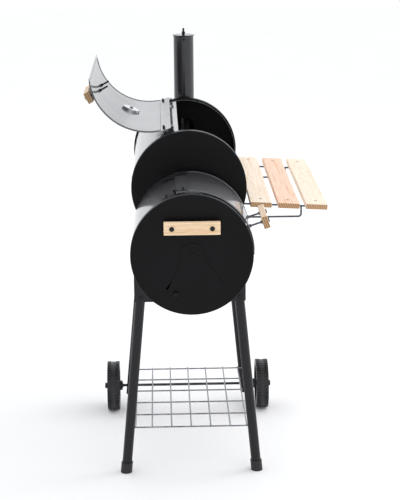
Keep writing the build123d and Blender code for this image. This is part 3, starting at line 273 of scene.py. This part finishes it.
# ---------------------------------------------------------------- mesh helpers
def keep(name, made, material, body, smooth=True):
    """Turns a bmesh into a piece that rides on a body."""
    bmesh.ops.recalc_face_normals(made, faces=made.faces)
    mesh = bpy.data.meshes.new(name)
    made.to_mesh(mesh)
    made.free()
    mesh.materials.append(material)
    if smooth:
        mesh.shade_smooth()
    piece = bpy.data.objects.new(name, mesh)
    bpy.context.collection.objects.link(piece)
    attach(piece, body)
    return piece


def sweep(made, points, radius, closed=False, sides=10, ripple=None):
    """Adds a round bead along a line of points; ripple scales the radius along it."""
    rings = []
    count = len(points)
    up = Vector((0.3, 0.2, 1)).normalized()  # askew, so that no straight bead runs along it
    for index, point in enumerate(points):
        before = points[index - 1] if closed or index else point
        after = points[(index + 1) % count] if closed or index < count - 1 else point
        ahead = (after - before).normalized()
        reference = up if abs(ahead.dot(up)) < 0.95 else Vector((1, 0, 0))
        side = ahead.cross(reference).normalized()
        rise = side.cross(ahead)
        size = radius * (ripple(index) if ripple else 1.0)
        rings.append([made.verts.new(point + size * (side * math.cos(turn) + rise * math.sin(turn)))
                      for turn in (2 * math.pi * step / sides for step in range(sides))])
    for index in range(count if closed else count - 1):
        first, second = rings[index], rings[(index + 1) % count]
        for step in range(sides):
            after = (step + 1) % sides
            made.faces.new((first[step], first[after], second[after], second[step]))
    if not closed:
        made.faces.new(rings[0])
        made.faces.new(list(reversed(rings[-1])))


CORNER_R = 0.012
CORNER_STEPS = 6
LINE_STEP = 0.012


def lid_frame_line(span_x, radius, low, high, height, moved=lambda point: point):
    """A rounded rectangle of points on a rolled lid, given by its ends and two angles."""
    half_x = (span_x[1] - span_x[0]) / 2
    middle_x = (span_x[0] + span_x[1]) / 2
    half_s = math.radians(high - low) / 2 * radius
    points = []
    for corner_x, corner_s, start in ((1, 1, 0), (-1, 1, 90), (-1, -1, 180), (1, -1, 270)):
        for step in range(CORNER_STEPS + 1):
            turn = math.radians(start + 90 * step / CORNER_STEPS)
            points.append((corner_x * (half_x - CORNER_R) + CORNER_R * math.cos(turn),
                           corner_s * (half_s - CORNER_R) + CORNER_R * math.sin(turn)))
    line = []
    for index, (x, s) in enumerate(points):
        next_x, next_s = points[(index + 1) % len(points)]
        steps = max(1, round(abs(next_s - s) / LINE_STEP))
        for part in range(steps):
            share = part / steps
            here_x = x + (next_x - x) * share
            here_s = s + (next_s - s) * share
            degrees = (low + high) / 2 + math.degrees(here_s / radius)
            line.append(moved(on_barrel(middle_x + here_x, radius, degrees, height)))
    return line


# ---------------------------------------------------------------- pressed beads of the lids
BEAD_R = 0.0011
BEAD_END_GAP = LID_INSET + 0.007
MAIN_BEAD_START = LID_START + 10.5
FIRE_BEAD_START = LID_START + 13
BEAD_STOP = LID_LIP - 3
main_span = (MAIN_X[0] + BEAD_END_GAP, MAIN_X[1] - BEAD_END_GAP)
fire_span = (FIRE_X[0] + BEAD_END_GAP, FIRE_X[1] - BEAD_END_GAP)


def lid_bead(name, line, body):
    """The bead pressed along a line on a lid's face."""
    made = bmesh.new()
    sweep(made, line, BEAD_R, closed=True)
    keep(name, made, LOOKS["lid_paint"], body)


MAIN_INNER_R = LID_R - SHEET - BEAD_R * 0.3
for name, radius in (("main_lid_inner_bead", MAIN_INNER_R), ("main_lid_outer_bead", LID_R)):
    line = lid_frame_line(main_span, radius, MAIN_BEAD_START, BEAD_STOP, MAIN_Z, moved=lid_opened)
    lid_bead(name, line, "main_lid")
for name, radius in (("firebox_lid_inner_bead", LID_R - SHEET), ("firebox_lid_outer_bead", LID_R)):
    line = lid_frame_line(fire_span, radius, FIRE_BEAD_START, BEAD_STOP, FIRE_Z)
    lid_bead(name, line, "firebox_lid")

# ---------------------------------------------------------------- weld seams
SEAM_ANGLE = -25.0
SEAM_R = 0.0022
SEAM_SINK = 0.0008
WELD_PITCH = 0.0022
WELD_SIDES = 8
OUTER_END_GAP = 0.004


def weld_ripple(index):
    """How full a weld is at one of its ripples."""
    return 1.0 + 0.22 * math.sin(index * 2.1) + 0.06 * math.sin(index * 0.37)


def seam(name, span_x, height):
    """The lengthwise weld of a rolled barrel, ground nearly flat."""
    made = bmesh.new()
    steps = int((span_x[1] - span_x[0]) / WELD_PITCH)
    points = [on_barrel(span_x[0] + WELD_PITCH * index, SHELL_R - SEAM_SINK, SEAM_ANGLE, height)
              for index in range(steps)]
    sweep(made, points, SEAM_R, sides=WELD_SIDES, ripple=weld_ripple)
    keep(name, made, weld_metal, "smoker")


seam("main_barrel_seam", (MAIN_X[0] + CAP_REACH, MAIN_X[1] - CAP_REACH), MAIN_Z)
seam("firebox_seam", (FIRE_X[0] + CAP_REACH, FIRE_X[1] - OUTER_END_GAP), FIRE_Z)


def ring(centre, across_a, across_b, radius, steps):
    """Points round a circle, from one of its directions towards the other."""
    turns = [2 * math.pi * index / steps for index in range(steps)]
    return [centre + radius * (across_a * math.cos(turn) + across_b * math.sin(turn)) for turn in turns]


ELBOW_R = 0.0315
FLANGE_R = 0.048
FLANGE_FACE = 0.0022
ELBOW_WELD_R = 0.0016
made = bmesh.new()
elbow_centre = Vector((elbow_low.x + FLANGE_FACE, AXIS_Y, elbow_low.z + FLANGE_R))
steps = int(2 * math.pi * ELBOW_R / WELD_PITCH)
weld_line = ring(elbow_centre, Vector((0, 1, 0)), Vector((0, 0, 1)), ELBOW_R, steps)
sweep(made, weld_line, ELBOW_WELD_R, closed=True, sides=WELD_SIDES, ripple=weld_ripple)
keep("elbow_flange_weld", made, weld_metal, "smoker")

# ---------------------------------------------------------------- rolled mouth of the chimney
MOUTH_ROLL_R = 0.0012
MOUTH_DROP = 0.0014
MOUTH_STEPS = 120
made = bmesh.new()
mouth_centre = Vector(((tube_low.x + tube_high.x) / 2, AXIS_Y, tube_high.z - MOUTH_DROP))
mouth_r = (tube_high.x - tube_low.x) / 2
mouth_line = ring(mouth_centre, Vector((1, 0, 0)), Vector((0, 1, 0)), mouth_r, MOUTH_STEPS)
sweep(made, mouth_line, MOUTH_ROLL_R, closed=True)
keep("chimney_rolled_mouth", made, LOOKS["chimney_paint"], "smoker")

# ---------------------------------------------------------------- thermometer dial
GAUGE_ANGLE = 118.0
DIAL_TOP = 0.0026
DIAL_COLD = 240.0
DIAL_SWEEP = 300.0
DIAL_FIGURES = 6
DIAL_STEP = 100
TICKS_PER_FIGURE = 10
TICK_OUTER = 0.0200
LONG_TICK = (0.0165, 0.0003)
MIDDLE_TICK = (0.0178, 0.00014)
SHORT_TICK = (0.0186, 0.00014)
FIGURE_R = 0.0128
FIGURE_SIZE = 0.0046
PRINT_THICK = 0.00012
PRINT_GAP = 0.00001
dial_low, dial_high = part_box("thermometer_dial")
gauge_x = (dial_low.x + dial_high.x) / 2
gauge_turn = math.radians(GAUGE_ANGLE)
gauge_out = Vector((0, math.cos(gauge_turn), math.sin(gauge_turn)))
gauge_up = gauge_out.cross(Vector((1, 0, 0)))
gauge_centre = on_barrel(gauge_x, LID_R, GAUGE_ANGLE, MAIN_Z)


def on_dial(x, y, above=0.0):
    """A point of the dial face, x to the right and y up as it is read."""
    return lid_opened(gauge_centre + Vector((x, 0, 0)) + gauge_up * y + gauge_out * (DIAL_TOP + above))


def dial_patch(made, outline):
    """A thin raised print with the given outline."""
    low = [made.verts.new(on_dial(x, y, PRINT_GAP)) for x, y in outline]
    top = [made.verts.new(on_dial(x, y, PRINT_THICK)) for x, y in outline]
    made.faces.new(top)
    for index in range(len(outline)):
        after = (index + 1) % len(outline)
        made.faces.new((low[index], low[after], top[after], top[index]))


made = bmesh.new()
ticks = TICKS_PER_FIGURE * (DIAL_FIGURES - 1)
for step in range(ticks + 1):
    turn = math.radians(DIAL_COLD - DIAL_SWEEP * step / ticks)
    inner, half = SHORT_TICK
    if step % TICKS_PER_FIGURE == 0:
        inner, half = LONG_TICK
    elif step % (TICKS_PER_FIGURE // 2) == 0:
        inner, half = MIDDLE_TICK
    along = (math.cos(turn), math.sin(turn))
    aside = (-along[1], along[0])
    corners = ((inner, -half), (TICK_OUTER, -half), (TICK_OUTER, half), (inner, half))
    dial_patch(made, [(along[0] * out + aside[0] * over, along[1] * out + aside[1] * over)
                      for out, over in corners])
keep("dial_ticks", made, printed_ink, "main_lid", smooth=False)

made = bmesh.new()
for step in range(DIAL_FIGURES):
    text = bpy.data.curves.new("figure", "FONT")
    text.body = str(DIAL_STEP * step)
    text.size = FIGURE_SIZE
    text.align_x = "CENTER"
    text.align_y = "CENTER"
    holder = bpy.data.objects.new("figure", text)
    bpy.context.collection.objects.link(holder)
    flat = bpy.data.meshes.new_from_object(holder.evaluated_get(bpy.context.evaluated_depsgraph_get()))
    turn = math.radians(DIAL_COLD - DIAL_SWEEP * step / (DIAL_FIGURES - 1))
    figure_x = FIGURE_R * math.cos(turn)
    figure_y = FIGURE_R * math.sin(turn)
    for vertex in flat.vertices:
        vertex.co = on_dial(vertex.co.x + figure_x, vertex.co.y + figure_y, PRINT_THICK)
    made.from_mesh(flat)
    bpy.data.objects.remove(holder)
    bpy.data.curves.remove(text)
    bpy.data.meshes.remove(flat)
keep("dial_figures", made, printed_ink, "main_lid", smooth=False)

# ---------------------------------------------------------------- floor and light
FLOOR_HALF = 14.0
FLOOR_DROP = 0.0005
FLOOR_SHADES = ((0.3, (0.96, 0.96, 0.96)), (0.7, (0.975, 0.975, 0.975)))
made = bmesh.new()
bmesh.ops.create_grid(made, x_segments=4, y_segments=4, size=FLOOR_HALF)
floor_mesh = bpy.data.meshes.new("floor")
made.to_mesh(floor_mesh)
made.free()
floor_look = Look("studio_floor", Specular_IOR_Level=0.1, Roughness=0.9)
floor_look.join(floor_look.ramp(floor_look.noise(2.0, 3.0), FLOOR_SHADES), "Base Color")
floor_mesh.materials.append(floor_look.material)
floor = bpy.data.objects.new("floor", floor_mesh)
floor.location = (0, 0, -FLOOR_DROP)
bpy.context.collection.objects.link(floor)

scene = bpy.context.scene
scene.view_settings.view_transform = "Standard"
world = bpy.data.worlds.new("studio")
world.use_nodes = True
backdrop = world.node_tree.nodes["Background"]
backdrop.inputs["Color"].default_value = (0.96, 0.975, 1.0, 1)
backdrop.inputs["Strength"].default_value = 1.06
scene.world = world


def softbox(name, place, target, width, height, radiance, tint=(1, 1, 1)):
    """A rectangular soft light facing a target; radiance is how bright its face is."""
    light = bpy.data.lights.new(name, "AREA")
    light.shape = "RECTANGLE"
    light.size = width
    light.size_y = height
    light.energy = radiance * math.pi * width * height
    light.color = tint
    holder = bpy.data.objects.new(name, light)
    holder.location = place
    holder.rotation_mode = "QUATERNION"
    holder.rotation_quaternion = (Vector(target) - Vector(place)).to_track_quat("-Z", "Y")
    bpy.context.collection.objects.link(holder)


softbox("far_softbox", (4.2, 0.0, 2.6), (0, 0, 0.8), 4.5, 2.2, 0.3, (0.96, 0.98, 1.0))
softbox("key_softbox", (0.9, -3.4, 2.2), (0.2, 0, 0.8), 2.2, 2.6, 2.4)
softbox("front_softbox", (-2.6, -2.2, 3.4), (0, 0, 0.4), 2.2, 2.2, 0.9)

# ---------------------------------------------------------------- camera
CAMERA_AT = Vector((-4.12864, 0.116485, 1.65835))
CAMERA_AHEAD = Vector((0.96885, -0.02507, -0.24634)).normalized()
CAMERA_ROLL = -0.009
SENSOR = 36.0
LONG_SIDE = 500.0
FOCAL = 1523.14
camera_data = bpy.data.cameras.new("camera")
camera_data.sensor_width = SENSOR
camera_data.lens = FOCAL * SENSOR / LONG_SIDE
camera_data.clip_start = 0.05
camera_data.clip_end = 60.0
camera = bpy.data.objects.new("camera", camera_data)
camera.location = CAMERA_AT
camera.rotation_mode = "QUATERNION"
aim = CAMERA_AHEAD.to_track_quat("-Z", "Y")
camera.rotation_quaternion = aim @ Quaternion((0, 0, 1), CAMERA_ROLL)
bpy.context.collection.objects.link(camera)
scene.camera = camera
